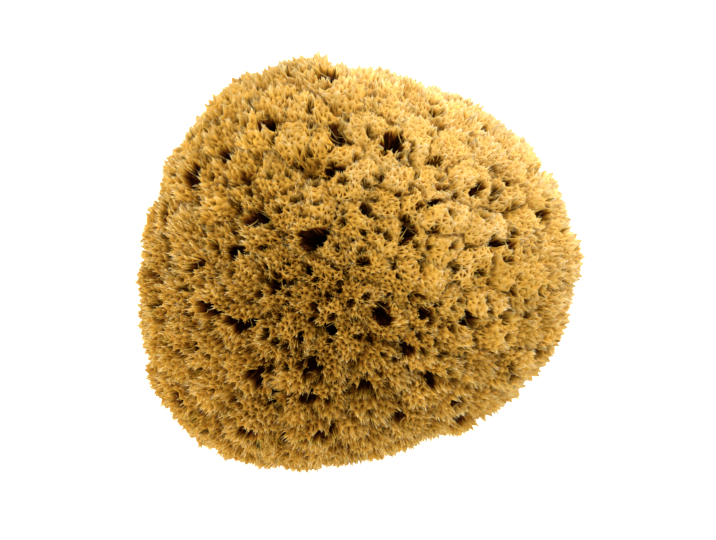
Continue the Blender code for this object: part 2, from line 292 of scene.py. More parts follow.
# Wide pores
# The holes that the living sponge breathed through, about 4 to 8 mm wide. Those of the top are where the
# photo has them, and a spiral of others goes round the flanks.
PORES = [  # (x, y, width)
    (-15.4 * MM, 8.6 * MM, 8.5 * MM),
    (-41.8 * MM, -20.8 * MM, 6.5 * MM),
    (-31.7 * MM, 47.2 * MM, 7.0 * MM),
    (10.0 * MM, 42.2 * MM, 6.0 * MM),
    (15.7 * MM, 10.7 * MM, 6.0 * MM),
    (2.3 * MM, 16.3 * MM, 4.5 * MM),
    (25.8 * MM, 20.0 * MM, 5.0 * MM),
    (38.6 * MM, 24.0 * MM, 4.5 * MM),
    (52.0 * MM, 27.7 * MM, 5.0 * MM),
    (49.0 * MM, 5.4 * MM, 6.0 * MM),
    (8.0 * MM, -17.8 * MM, 6.5 * MM),
    (20.7 * MM, -18.5 * MM, 5.0 * MM),
    (36.8 * MM, -20.0 * MM, 6.5 * MM),
    (15.5 * MM, -30.7 * MM, 5.0 * MM),
    (45.9 * MM, -36.2 * MM, 5.0 * MM),
    (24.6 * MM, -40.8 * MM, 5.5 * MM),
    (32.6 * MM, -47.0 * MM, 5.5 * MM),
    (1.5 * MM, -43.4 * MM, 6.0 * MM),
    (12.7 * MM, -53.8 * MM, 5.0 * MM),
    (19.7 * MM, 0.4 * MM, 5.0 * MM),
    (-35.7 * MM, 15.0 * MM, 6.5 * MM),
    (-43.1 * MM, 3.3 * MM, 6.0 * MM),
    (-55.0 * MM, 20.7 * MM, 6.0 * MM),
    (-48.0 * MM, 37.0 * MM, 5.5 * MM),
    (-8.9 * MM, 45.0 * MM, 4.5 * MM),
    (-8.4 * MM, 32.6 * MM, 6.0 * MM),
    (-17.0 * MM, 28.5 * MM, 5.0 * MM),
    (-58.0 * MM, -1.0 * MM, 6.0 * MM),
    (-29.5 * MM, -8.5 * MM, 5.0 * MM),
    (-17.3 * MM, -2.5 * MM, 5.0 * MM),
    (-52.5 * MM, -15.9 * MM, 6.0 * MM),
    (-10.8 * MM, -23.6 * MM, 7.0 * MM),
    (-21.3 * MM, -27.0 * MM, 5.0 * MM),
    (-57.0 * MM, -30.0 * MM, 5.5 * MM),
    (-16.8 * MM, -37.5 * MM, 5.5 * MM),
    (-35.0 * MM, -38.5 * MM, 5.0 * MM),
    (-31.2 * MM, -46.5 * MM, 5.5 * MM),
    (-18.3 * MM, -46.5 * MM, 5.5 * MM),
    (-13.3 * MM, -58.9 * MM, 5.5 * MM),
]
FLANK_PORES = 44
FLANK_FROM = math.radians(-12)
FLANK_TO = math.radians(24)
FLANK_PORE_WIDTH = 5.0 * MM
FLANK_PORE_SPREAD = 0.25
FLANK_PORE_WAVE = 2.4
WIDE_PORE = 8.5 * MM
PORE_DEPTH = 13 * MM  # of one as wide as that
DEPTH_POWER = 2.2  # of the width, for the others
PORE_OVERHANG = 0.4 * MM  # how far the tufts round a pore reach in over its edge
PORE_STRETCH = 1.2  # how much longer than wide most of them are, one way or another
SLOT_PORE = 1  # its number in the list
SLOT_STRETCH = 1.7
TOP_ROUNDS = 12  # enough for a pore's place on the dome to settle
LEAST_HEIGHT = 1 * MM


def top_direction(x, y):
    """The direction from the heart to the place on the top that lies at x, y when seen from above."""
    height = HEIGHT - WIDEST_AT
    for _ in range(TOP_ROUNDS):
        direction = np.array([[x, y, height]])
        direction /= np.linalg.norm(direction)
        height = max(float(smooth_form(direction)[0] * direction[0, 2]), LEAST_HEIGHT)
    return direction[0]


pores = [(top_direction(x, y), width) for x, y, width in PORES]
for i in range(FLANK_PORES):
    share = (i + 0.5) / FLANK_PORES
    slope = math.asin(math.sin(FLANK_FROM) + share * (math.sin(FLANK_TO) - math.sin(FLANK_FROM)))
    turn = GOLDEN_ANGLE * i
    level = math.cos(slope)
    direction = np.array([level * math.cos(turn), level * math.sin(turn), math.sin(slope)])
    pores.append((direction, FLANK_PORE_WIDTH * (1 + FLANK_PORE_SPREAD * math.sin(FLANK_PORE_WAVE * i))))


def wide_pore_depths(places):
    """For each place, measured from the heart, the depth of the wide pore that it is inside of, or else 0.

    A place is inside by its distance from the pore's axis, where lengths along one line across the pore count
    less and those square to it more. Wide ones go deeper, by a power of the width.
    """
    depths = np.zeros(len(places))
    for i, (direction, width) in enumerate(pores):
        along = places @ direction
        turn = 0 if i == SLOT_PORE else GOLDEN_ANGLE * i
        long_way = np.array([math.cos(turn), math.sin(turn), 0])
        long_way -= (long_way @ direction) * direction
        long_way /= np.linalg.norm(long_way)
        stretch = SLOT_STRETCH if i == SLOT_PORE else PORE_STRETCH
        lengthways = places @ long_way
        sideways = places @ np.cross(direction, long_way)
        away = np.hypot(lengthways / stretch, sideways * stretch)
        inside = (along > 0) & (away < width / 2 - PORE_OVERHANG)
        depths = np.where(inside, PORE_DEPTH * (width / WIDE_PORE) ** DEPTH_POWER, depths)
    return depths


# Tufts
# The round side is one felt of soft pointed tufts 2 mm apart, each the end of a bundle of fibres. Webs of
# fibre join every tuft to the next ones, a pit lies between every three, and small pores open where tufts
# are missing.
TUFTS = 19500  # on the round form as it was before the cut
TUFT_JITTER = 0.38
TUFT_SEED = 31
RIM_POINTS = 184  # round the edge of the cut
RIM_CLEARANCE = 1.2 * MM  # from the table up to the lowest other tufts
LOWEST_RIM = -math.pi / 3  # below the heart's level, seen from the heart
RIM_ROUNDS = 24  # of halving, to find where the roots meet the table
RIM_OUT = 3.4 * MM  # from where the tufts of the rim spring from to where the knife went through them
RIM_WAVES = 1.4 * MM
RIM_NOISE = (5 * MM, 29)  # scale and seed, as in all the noises
RIM_JAGS = 0.8 * MM
MAP_MERGE = 1e-9
ROOT_DEPTH = 6.5 * MM  # from the tips down to where the tufts spring from
FAN_ORIGIN = np.array([-5.6 * MM, -11.3 * MM, 26 * MM])  # the tufts stand out from here
LOBE_FAN = 0.5  # how far a lobe's outer tufts lean away from its middle
CUT_SOFTNESS = 8 * MM  # height above the cut below which the tufts lean level
SHORT_TUFT = 2.0 * MM  # from the webs to the point, on the top
SIDE_TUFT = 4.0 * MM
LONG_TUFT = 4.6 * MM  # on the flank that is combed out
COMBED_TOWARDS = np.array([-0.60, -0.80, 0.0])
COMBED_EDGE = 0.9  # how sharply that flank ends
FLANK_RISE = (0.85, 0.5)  # height of a unit direction where the flank starts, and how soon it is in full
TOUSLE = 0.3  # how far tufts that stand together lean together
TOUSLE_NOISE = (8 * MM, 27)
WEB_UNEVEN = 0.9 * MM
WEB_NOISE = (4 * MM, 23)
GROOVE_DEPTH = 4.2 * MM  # how much lower the webs are in the grooves between lobes
GROOVE_SHADE = 0.16  # painted shade: how much darker they are there
LOBE_DOME = 1.1 * MM  # how much lower a lobe's edge is than its middle
LOBE_EDGE = 0.6  # from its middle to its edge, as a share of the lobes' spacing
LOBE_SPREAD = (1.8 * MM, 1.5 * MM)  # how far lobes stand back or out, at the sides and on the top
LOBE_TOP = (0.2, 0.5)  # height of a unit direction where the top starts, and how soon it is in full
LOBE_SEED = 601  # of those tried, the one whose outline from above is nearest to the photo's
LOBE_LIFT = 1.5 * MM  # of all lobes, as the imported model's longer tufts reach that much further
SHORTEST_TUFT = (0.32, 0.50)  # as a share of the longest, on the top and on the combed flank
SOLID_POINT = (0.78, 1.0)  # how far up a tuft its solid part ends, and the same on the uncombed flanks
WEB_SLOPE = (0.20, 0.55)  # how far up the shorter of its two tufts a web reaches
WEB_FELTED = 0.12  # how much further up on the top, where the felt is denser
PIT_DEPTH = 5.5 * MM  # of the deepest, below the roots of the tufts. The others are partly closed with felt
PIT_CLOSED = 1.6  # above 1, more of the pits are nearly closed
PIT_WIDTHS = (0.20, 0.70)  # as a share of the way from the pit's middle to the tufts and webs round it
PIT_SINK = 0.6  # how far down to the roots the edge of the deepest pit is
PIT_BRIM = 0.35  # how far up to the tufts and webs round it the edge of a pit is
PIT_UNEVEN = (0.85, 1.15)  # times its width
PIT_SHADE = 0.6  # painted shade: how much darker the deepest pit is than its depth makes it
WIDE_BRINK = (0.08, 0.32)  # from a tuft to its web towards a pore's bottom, as a share of that way
SMALL_BRINK = (0.48, 0.78)  # the same for a small pore
SMALL_DROP = 0.3 * MM  # of the webs round a small pore
BRINK_DROPS = (0.8 * MM, 4.2 * MM)  # below the webs, where the wall of a pore is dark already
WIDE_DROPS = (0.2 * MM, 2.5 * MM)  # the same for the webs on their way into a wide pore
BRINK_WIDTH = 0.84  # of a pit in the wall of a pore
SMALL_PORES = 1500  # where one tuft is missing
SMALL_JITTER = 0.5
FLANK_SHARE = 0.4  # of them that are there on the flanks
SMALL_RISE = (0.45, 0.35)  # height of a unit direction where more of them are there, and how soon all are
SMALL_PORE_DEPTHS = (3.5 * MM, 8 * MM)
LOWEST_PORE = 16 * MM  # above the cut
WIDE_RAGGED = 1.6 * MM  # how far the edge of a wide pore strays
WIDE_NOISE = (4 * MM, 21)
SHADE_DEPTH = 19.5 * MM  # painted shade: from the pale tips down to the painted black of the pores
SHADE_FALL = 2.6
WEB_SHADE = 0.88  # painted shade, as a share of that at their height, as the webs are in among the tufts
WIDE_SHADE = (0.16, 0.04)  # the same for the brinks and the walls of wide pores, which are in deep shadow
SMALL_SHADE = 0.55  # painted shade, the same for the walls of small pores
PAINTED_LIGHT_TOWARDS = np.array([0.62, 0.74, -0.85])  # painted light: the side towards the lamp, more on the flanks than on the top, where the fibre is painted palest
PAINTED_LIGHT_EDGE = 0.6  # how sharply that side ends
PAINTED_LIGHT_TONE = 0.24
PAINTED_LIGHT_DEPTH = 0.72  # painted light: how much less the painted shade falls off with depth there
PAINTED_LIGHT_PORE = 0.35  # of that in the pores, where little light comes
PAINTED_SHADE_TONE = 0.55  # painted shade: how much darker the side is that is combed out the most, away from the lamp
PAINTED_SHADE_FROM = 0.6
TONE_MIDDLE = 0.585
TONE_DRIFT = 0.25  # over the form
TONE_NOISE = (22 * MM, 25)
TONE_SPREAD = 0.22  # from one tuft to the next
TONE_GRAIN = 0.02
SECTORS = ("east", "north", "west", "south")
FIELD = 200 * MM  # wide enough to hold the whole sponge
CHART_LEEWAY = 0.002  # so that a face of one shade has some width on the map too


def unit(vectors):
    """The vectors, each made one long."""
    return vectors / np.linalg.norm(vectors, axis=1, keepdims=True)


def smoothstep(x):
    """0 below 0 and 1 above 1, with an S-shaped rise between: three squares less two cubes."""
    x = np.clip(x, 0, 1)
    return x * x * (3 - 2 * x)


def between(ends, share):
    """The value that lies that share of the way from the first of two to the second."""
    return ends[0] + (ends[1] - ends[0]) * share


def soft_noise(places, scale, seed):
    """A smooth random vector at each place, each part from -1 to 1: random vectors at the corners of cubes of
    the given scale, mixed by an S-shaped step along each axis."""
    count = math.ceil(FIELD / scale) + 4
    corners = np.random.default_rng(seed).uniform(-1, 1, (count, count, count, 3))
    scaled = places / scale + count / 2
    home = np.floor(scaled).astype(int)
    share = smoothstep(scaled - home)
    total = np.zeros((len(places), 3))
    for shift in np.ndindex(2, 2, 2):
        weight = np.prod(np.where(shift, share, 1 - share), axis=1)
        cube = home + np.array(shift)
        total += weight[:, None] * corners[cube[:, 0], cube[:, 1], cube[:, 2]]
    return total


def roots_at(directions):
    """Places that tufts spring from, in unit directions from the heart, and how far up its lobe each is."""
    lobe_rise, _ = lobes_at(directions)
    depth = ROOT_DEPTH + LOBE_RISE * (1 - lobe_rise)
    return heart + directions * (smooth_form(directions) - depth)[:, None], lobe_rise


def net_within_rim(flat_map, rim_points):
    """The Delaunay triangles between points of a flat map, inside the rim that the first of them make. Each
    goes round its three points anticlockwise."""
    rim = list(range(rim_points))
    return np.array(delaunay_2d_cdt([tuple(point) for point in flat_map], [], [rim], 1, MAP_MERGE)[2])


def split_net(triangles, count):
    """Splits each triangle of a net into 18, about a pit in its middle.

    The points are the net's own, one for the web on each side of a triangle, one for each pit, and six round
    each pit, in that order. Returns each web's two tufts, whether a web is on the net's rim, the six points
    round each triangle, and the faces.
    """
    sides = np.stack([triangles, np.roll(triangles, -1, axis=1)], axis=2).reshape(-1, 2)
    pairs, number, uses = np.unique(np.sort(sides, axis=1), axis=0, return_inverse=True, return_counts=True)
    around = np.stack([triangles, count + number.reshape(-1, 3)], axis=2).reshape(-1, 6)
    pit = count + len(pairs) + np.arange(len(triangles))
    mouth = pit[-1] + 1 + np.arange(6 * len(triangles)).reshape(-1, 6)
    next_mouth = np.roll(mouth, -1, axis=1)
    next_around = np.roll(around, -1, axis=1)
    faces = np.concatenate([
        np.stack([np.broadcast_to(pit[:, None], mouth.shape), mouth, next_mouth], axis=2),
        np.stack([mouth, around, next_around], axis=2),
        np.stack([mouth, next_around, next_mouth], axis=2),
    ], axis=1)  # fmt: skip
    return pairs, uses == 1, around, faces


def sector_of(directions):
    """The number of the quarter that each direction is in when seen from above: 0 is round +X, 1 round +Y."""
    turn = np.arctan2(directions[:, 1], directions[:, 0])
    return np.floor(turn / (math.pi / 2) + 0.5).astype(int) % len(SECTORS)


def low_mean(values):
    """Half way between the mean and the least of each row."""
    return (values.mean(axis=1) + values.min(axis=1)) / 2


def new_piece(name, places, faces, shade, tone):
    """A mesh object of those triangles that has the painted shade and the fibre's tone at each point.

    Both are attributes for the material, the painted shade under the name "height", and they are also the two
    coordinates of the piece's map. Points that no face uses are left out.
    """
    used, faces = np.unique(faces, return_inverse=True)
    places, shade, tone = places[used], shade[used], tone[used]
    faces = faces.reshape(-1, 3)
    mesh = bpy.data.meshes.new(name)
    mesh.vertices.add(len(places))
    mesh.vertices.foreach_set("co", places.astype(np.float32).ravel())
    mesh.loops.add(faces.size)
    mesh.loops.foreach_set("vertex_index", faces.astype(np.int32).ravel())
    mesh.polygons.add(len(faces))
    mesh.polygons.foreach_set("loop_start", np.arange(0, faces.size, 3, dtype=np.int32))
    mesh.update(calc_edges=True)
    # The painted shade goes in under the name "height".
    mesh.attributes.new("height", "FLOAT", "POINT").data.foreach_set("value", shade.astype(np.float32))
    mesh.attributes.new("tone", "FLOAT", "POINT").data.foreach_set("value", tone.astype(np.float32))
    chart = np.stack([tone, shade], axis=1)[faces.ravel()]
    chart += np.random.default_rng(len(faces)).uniform(-1, 1, chart.shape) * CHART_LEEWAY
    chart = CHART_LEEWAY + (1 - 2 * CHART_LEEWAY) * np.clip(chart, 0, 1)
    mesh.uv_layers.new(name="OFBake").data.foreach_set("uv", chart.astype(np.float32).ravel())
    mesh.shade_smooth()
    mesh.materials.append(fibre)
    piece = bpy.data.objects.new(name, mesh)
    bpy.context.scene.collection.objects.link(piece)
    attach(piece, "root")
    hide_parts("sponge")
    return piece


tuft_rng = np.random.default_rng(TUFT_SEED)
azimuth = np.arange(RIM_POINTS) * 2 * math.pi / RIM_POINTS
low = np.full(RIM_POINTS, LOWEST_RIM)
high = np.zeros(RIM_POINTS)
for _ in range(RIM_ROUNDS):
    slope = (low + high) / 2
    level = np.cos(slope)
    rim = np.stack([np.cos(azimuth) * level, np.sin(azimuth) * level, np.sin(slope)], axis=1)
    above = roots_at(rim)[0][:, 2] > 0
    high = np.where(above, slope, high)
    low = np.where(above, low, slope)
spread = jittered(spiral_directions(TUFTS), TUFT_JITTER, tuft_rng)
spread = spread[roots_at(spread)[0][:, 2] > RIM_CLEARANCE]
sites = np.concatenate([rim, spread])
tufts = len(sites)
triangles = net_within_rim(sites[:, :2] / (1 + sites[:, 2:]), RIM_POINTS)
pairs, on_rim, around, tuft_faces = split_net(triangles, tufts)

roots, lobe_rise = roots_at(sites)
rim_out = RIM_OUT + RIM_WAVES * soft_noise(roots[:RIM_POINTS], *RIM_NOISE)[:, :1]
rim_out += RIM_JAGS * tuft_rng.uniform(-1, 1, (RIM_POINTS, 1))
roots[:RIM_POINTS] += unit(rim * [1, 1, 0]) * rim_out
roots[:RIM_POINTS, 2] = 0
on_form = roots - heart + sites * ROOT_DEPTH
_, lobe_number = lobes_at(sites)
lobe_middle = lobe_centres[lobe_number]
off_middle = np.linalg.norm(sites - lobe_middle, axis=1) / (LOBE_EDGE * math.sqrt(4 * math.pi / LOBES))
lobe_spread = between(LOBE_SPREAD, smoothstep((lobe_middle[:, 2] - LOBE_TOP[0]) / LOBE_TOP[1]))
lobe_stand = np.random.default_rng(LOBE_SEED).uniform(-1, 1, LOBES)[lobe_number]
lobe_height = (LOBE_LIFT + lobe_spread * lobe_stand) * lobe_rise**2
lobe_height -= LOBE_DOME * off_middle**2
lobe_height[:RIM_POINTS] = 0
roots += sites * lobe_height[:, None]
leans = unit(heart + on_form - FAN_ORIGIN)
leans += LOBE_FAN * (sites - lobe_middle) * math.sqrt(LOBES) / 2
leans += TOUSLE * soft_noise(on_form, *TOUSLE_NOISE)
leans[:, 2] *= smoothstep(roots[:, 2] / CUT_SOFTNESS)
leans = unit(leans)

combed = smoothstep(0.5 + COMBED_EDGE * (sites @ COMBED_TOWARDS))
flank = smoothstep((FLANK_RISE[0] - sites[:, 2]) / FLANK_RISE[1])
longest = between((between((SHORT_TUFT, SIDE_TUFT), flank), LONG_TUFT), combed)
floors = ROOT_DEPTH - longest + WEB_UNEVEN * soft_noise(on_form, *WEB_NOISE)[:, 0]
floors -= GROOVE_DEPTH * (1 - lobe_rise) ** 2
lengths = longest * tuft_rng.uniform(between(SHORTEST_TUFT, combed), 1)
pore_centres = jittered(spiral_directions(SMALL_PORES), SMALL_JITTER, tuft_rng)
pore_chance = between((FLANK_SHARE, 1), smoothstep((pore_centres[:, 2] - SMALL_RISE[0]) / SMALL_RISE[1]))
pore_centres = pore_centres[tuft_rng.random(SMALL_PORES) < pore_chance]
missing = (sites @ pore_centres.T).argmax(axis=0)
small = np.zeros(tufts, bool)
small[missing] = on_form[missing, 2] > LOWEST_PORE
wide_depths = wide_pore_depths(on_form + WIDE_RAGGED * soft_noise(on_form, *WIDE_NOISE))
wide = wide_depths > 0
floors = np.where(small, -tuft_rng.uniform(*SMALL_PORE_DEPTHS, tufts), floors)
floors = np.where(wide, -wide_depths, floors)
lengths[small | wide] = 0
floors[:RIM_POINTS] = 0
lengths[:RIM_POINTS] = 0

pore = small | wide
pore[:RIM_POINTS] = False
at_brink = pore[pairs].sum(axis=1) == 1
felted = 1 - np.maximum(combed, flank)
web_share = tuft_rng.uniform(*WEB_SLOPE, len(pairs)) + WEB_FELTED * felted[pairs].mean(axis=1)
web_rises = low_mean(floors[pairs]) + web_share * lengths[pairs].min(axis=1)
at_wide = at_brink & wide[pairs].any(axis=1)
web_drops = np.where(at_wide, tuft_rng.uniform(*WIDE_DROPS, len(pairs)), SMALL_DROP)
web_rises = np.where(at_brink, floors[pairs].max(axis=1) - web_drops, web_rises)
web_rises[on_rim] = 0
brinks = tuft_rng.uniform(*SMALL_BRINK, len(pairs))
brinks = np.where(at_wide, tuft_rng.uniform(*WIDE_BRINK, len(pairs)), brinks)
web_weights = 0.5 + (0.5 - brinks)[:, None] * (pore[pairs[:, ::-1]].astype(float) - pore[pairs])
pit_share = tuft_rng.random(len(triangles)) ** PIT_CLOSED
pit_floors = low_mean(floors[triangles])
felt_rises = web_rises[around[:, 1::2] - tufts].min(axis=1)
pit_rises = felt_rises + (pit_floors - PIT_DEPTH - felt_rises) * pit_share
pit_edges = felt_rises + (pit_floors - felt_rises) * PIT_SINK * pit_share


def shade_at(rises):
    """Painted shade: 1 at the tips and 0 at the bottom of the deepest pore, a power of the share of that way
    left.
    """
    return np.clip(1 - (ROOT_DEPTH - rises) / SHADE_DEPTH, 0, 1) ** SHADE_FALL


def on_net(values):
    """The values at the net's points, and between them at its webs and pits."""
    webs = (values[pairs] * web_weights[:, :, None]).sum(axis=1)
    return np.concatenate([values, webs, values[triangles].mean(axis=1)])


ground = on_net(roots)
upward = on_net(leans)
inward = on_net(sites)
tip_rises = floors + lengths * between(SOLID_POINT, flank * (1 - combed))
rises = np.concatenate([tip_rises, web_rises, pit_rises])
on_brink = pore[triangles].any(axis=1)
mouth_share = np.where(on_brink, BRINK_WIDTH, between(PIT_WIDTHS, pit_share))[:, None]
mouth_share = mouth_share * tuft_rng.uniform(*PIT_UNEVEN, (len(triangles), 6))
pit_numbers = tufts + len(pairs) + np.arange(len(triangles))


def at_mouths(values):
    """The values at the mouths of the pits, between those at the pits and at what is round them."""
    middle = values[pit_numbers][:, None]
    share = mouth_share.reshape(mouth_share.shape + (1,) * (values.ndim - 1))
    return (middle + share * (values[around] - middle)).reshape(-1, *values.shape[1:])


mouth_rises = pit_edges[:, None] + PIT_BRIM * (rises[around] - pit_edges[:, None])
brink_drops = tuft_rng.uniform(*BRINK_DROPS, (len(triangles), 6))
brink_rises = np.minimum(rises[around], floors[triangles].max(axis=1)[:, None] - brink_drops)
mouth_rises = np.where(on_brink[:, None], brink_rises, mouth_rises).ravel()
all_ground = np.concatenate([ground, at_mouths(ground)])
all_upward = np.concatenate([upward, at_mouths(upward)])
all_inward = np.concatenate([inward, at_mouths(inward)])
all_rises = np.concatenate([rises, mouth_rises])
outward = unit(np.where((all_rises > 0)[:, None], all_upward, all_inward))
places = all_ground + outward * all_rises[:, None]
places[:, 2] = np.maximum(places[:, 2], 0)
# Painted shade, by depth below the tips.
shade = shade_at(all_rises)
all_lobe_rise = on_net(lobe_rise[:, None])[:, 0]
all_lobe_rise = np.concatenate([all_lobe_rise, at_mouths(all_lobe_rise)])
# Painted shade in the grooves between lobes.
shade = np.clip(shade - GROOVE_SHADE * (1 - all_lobe_rise), 0, 1)
# Painted shade among the tufts, in the pits, and on the brinks and walls of the pores.
web_shade = np.where(on_rim, 1, np.where(at_wide, WIDE_SHADE[0], WEB_SHADE))
mouth_shade = np.where(on_brink, SMALL_SHADE, WEB_SHADE)
mouth_shade = np.where(wide[triangles].any(axis=1), WIDE_SHADE[1], mouth_shade)
shade *= np.concatenate([np.ones(tufts), web_shade, 1 - PIT_SHADE * pit_share, np.repeat(mouth_shade, 6)])
# Painted light: on the side towards the lamp the painted shade is lifted, less so in the pores.
in_pore = np.concatenate([pore, np.zeros(len(pairs), bool), on_brink, np.repeat(on_brink, 6)])
painted_light = smoothstep(0.5 + PAINTED_LIGHT_EDGE * (all_inward @ PAINTED_LIGHT_TOWARDS))
painted_light *= np.where(in_pore, PAINTED_LIGHT_PORE, 1)
shade **= 1 - PAINTED_LIGHT_DEPTH * painted_light
tone_and_painted_light = TONE_MIDDLE + TONE_DRIFT * soft_noise(on_form, *TONE_NOISE)[:, 0]
tone_and_painted_light += tuft_rng.uniform(-TONE_SPREAD, TONE_SPREAD, tufts)
# Painted light: the tone is paler towards the lamp.
tone_and_painted_light += PAINTED_LIGHT_TONE * (sites @ PAINTED_LIGHT_TOWARDS)
# Painted shade: darker on the side that is combed out the most, away from the lamp.
painted_shade_side = smoothstep((sites @ COMBED_TOWARDS - PAINTED_SHADE_FROM) / (1 - PAINTED_SHADE_FROM))
tone_and_painted_light = np.clip(tone_and_painted_light - PAINTED_SHADE_TONE * painted_shade_side, 0, 1)
tone = on_net(tone_and_painted_light[:, None])[:, 0]
tone = np.concatenate([tone, at_mouths(tone)])
tone = np.clip(tone + tuft_rng.uniform(-TONE_GRAIN, TONE_GRAIN, len(tone)), 0, 1)
sector = sector_of(sites[triangles].mean(axis=1))
for number, name in enumerate(SECTORS):
    new_piece("tufts_" + name, places, tuft_faces[sector == number].reshape(-1, 3), shade, tone)

# Strands
# Single fibres stand out of every tuft beside its point, a little apart, and end as points of their own. A
# tuft has a few blunt ones and more fine hairs.
STRANDS = (0.8, 2.3)  # in each tuft, on the top and on the flank that is combed out
STRAND_WIDTH = 0.42 * MM
HAIRS = (3.6, 2.0)
LOOSENESS = 0.8  # of the strands on the top, as a share of that on the combed flank
HAIR_WIDTH = 0.46 * MM  # at the root, from where a hair narrows all the way
HAIR_REACH = (0.6, 1.3)
HAIR_OFFSET = (0.6 * MM, 1.2 * MM)
STRAND_SUNK = 0.4 * MM  # how far below the webs a strand starts
STRAND_REACH = (0.80, 1.10)  # of the tuft's height
STRAND_OFFSET = (0.25 * MM, 0.7 * MM)  # from the tuft's middle at the root and at the tip
STRAND_SIDES = 3
STRAND_RINGS = ((0.0, 1.0), (0.8, 0.8))  # (share of the length, share of the width), before the point
HAIR_RINGS = ((0.0, 1.0),)
LOWEST_STRAND = 0.1 * MM  # above the table
STRAND_WIDTHS = (0.75, 1.25)  # times the width
STRAND_BEND = 0.15 * MM
STRAND_TONE = 0.4  # how much its tone strays from the tuft's
TONE_ENDS = (0.02, 0.98)
OFF_AXIS = np.array([0.31, 0.62, 0.72])  # a direction that no strand takes


def strands(rings, starts, ends, widths, bends, shade, tone):
    """Pointed strands: the places, faces, shades and tones of them all.

    Each is a tube of a few sides about a line from its start to its end, bent aside by a parabola that is
    nought at both, and it ends in a point.
    """
    along_it = unit(ends - starts)
    aside = unit(np.cross(along_it, OFF_AXIS))
    other = np.cross(along_it, aside)
    parts = []
    shades = []
    for along, share in rings:
        middle = starts + (ends - starts) * along + bends * (4 * along * (1 - along))
        for k in range(STRAND_SIDES):
            angle = 2 * math.pi * k / STRAND_SIDES
            spoke = (aside * math.cos(angle) + other * math.sin(angle)) * (widths * share / 2)[:, None]
            parts.append(middle + spoke)
            shades.append(between(shade, along))
    parts.append(ends)
    shades.append(shade[1])
    places = np.stack(parts, axis=1)
    places[:, :, 2] = np.maximum(places[:, :, 2], LOWEST_STRAND)
    corner = np.arange(STRAND_SIDES)
    beside = (corner + 1) % STRAND_SIDES
    faces = []
    for ring in range(len(rings) - 1):
        low, high = ring * STRAND_SIDES, (ring + 1) * STRAND_SIDES
        faces.append(np.stack([low + corner, low + beside, high + beside], axis=1))
        faces.append(np.stack([low + corner, high + beside, high + corner], axis=1))
    last = (len(rings) - 1) * STRAND_SIDES
    point = np.full(STRAND_SIDES, len(rings) * STRAND_SIDES)
    faces.append(np.stack([last + corner, last + beside, point], axis=1))
    faces = np.concatenate(faces)
    faces = (faces[None] + (np.arange(len(starts)) * places.shape[1])[:, None, None]).reshape(-1, 3)
    tones = tone[:, None] + np.linspace(-TONE_GRAIN, TONE_GRAIN, places.shape[1])
    return places.reshape(-1, 3), faces, np.stack(shades, axis=1).ravel(), tones.ravel()


def tuft_strands(tufts_here, each, reach, offset, width, rings):
    """Strands in each of those tufts, from just below the webs to about the height of the tuft's point."""
    each = np.floor(between(each, combed[tufts_here]) + tuft_rng.random(len(tufts_here)))
    here = np.repeat(tufts_here, each.astype(int))
    count = len(here)
    loose = between((LOOSENESS, 1), combed[here])
    aside = np.cross(leans[here], unit(tuft_rng.normal(size=(count, 3)))) * loose[:, None]
    tip_rises = floors[here] + lengths[here] * (1 + (tuft_rng.uniform(*reach, count) - 1) * loose)
    root_rises = floors[here] - STRAND_SUNK
    starts = roots[here] + leans[here] * root_rises[:, None] + aside * offset[0]
    ends = roots[here] + leans[here] * tip_rises[:, None] + aside * offset[1]
    widths = width * tuft_rng.uniform(*STRAND_WIDTHS, count)
    bends = tuft_rng.normal(size=(count, 3)) * STRAND_BEND
    strand_tone_and_painted_light = np.clip(tone_and_painted_light[here] + tuft_rng.uniform(-STRAND_TONE, STRAND_TONE, count), *TONE_ENDS)
    # Painted shade: darker at a strand's root than at its tip, and darker in the grooves between lobes.
    groove = GROOVE_SHADE * (1 - lobe_rise[here])
    shade = [np.clip(shade_at(rises) - groove, 0, 1) for rises in (root_rises, tip_rises)]
    return strands(rings, starts, ends, widths, bends, shade, strand_tone_and_painted_light)


standing = np.flatnonzero(lengths > 0)
strand_sector = sector_of(sites[standing])
for number, name in enumerate(SECTORS):
    here = standing[strand_sector == number]
    blunt = tuft_strands(here, STRANDS, STRAND_REACH, STRAND_OFFSET, STRAND_WIDTH, STRAND_RINGS)
    new_piece("strands_" + name, *blunt)
    fine = tuft_strands(here, HAIRS, HAIR_REACH, HAIR_OFFSET, HAIR_WIDTH, HAIR_RINGS)
    new_piece("hairs_" + name, *fine)

# Threads
# Here and there a fibre still spans a pore, or part of it, from the tufts on one side to those on the other.
# It sags a little, and it has grown fast to the tuft where it starts.
THREADS = 3  # at each wide pore but the widest
THREAD_SEED = 61
THREAD_WIDTH = 0.32 * MM
THREAD_EDGE = (-1.0 * MM, 1.8 * MM)  # from the pore's edge to the tufts that they start at
THREAD_SPAN = (0.3, 0.9)  # how much of the way to a tuft on the other side
SHORTEST_THREAD = 2.5 * MM
LEAST_EDGE = 6  # tufts that there are at the edge of a pore that has threads, and more
THREAD_SUNK = (0.8 * MM, 1.0 * MM)  # below the tip that it starts at and the one that it makes for
THREAD_SAG = 1.6 * MM
THREAD_SAGS = (0.2, 1)  # times that
THREAD_WIDTHS = (0.7, 1.3)  # times the width
THREAD_SHADES = (0.7, 0.82)
THREAD_RINGS = ((0.0, 1.0), (0.35, 0.8), (0.7, 0.6))

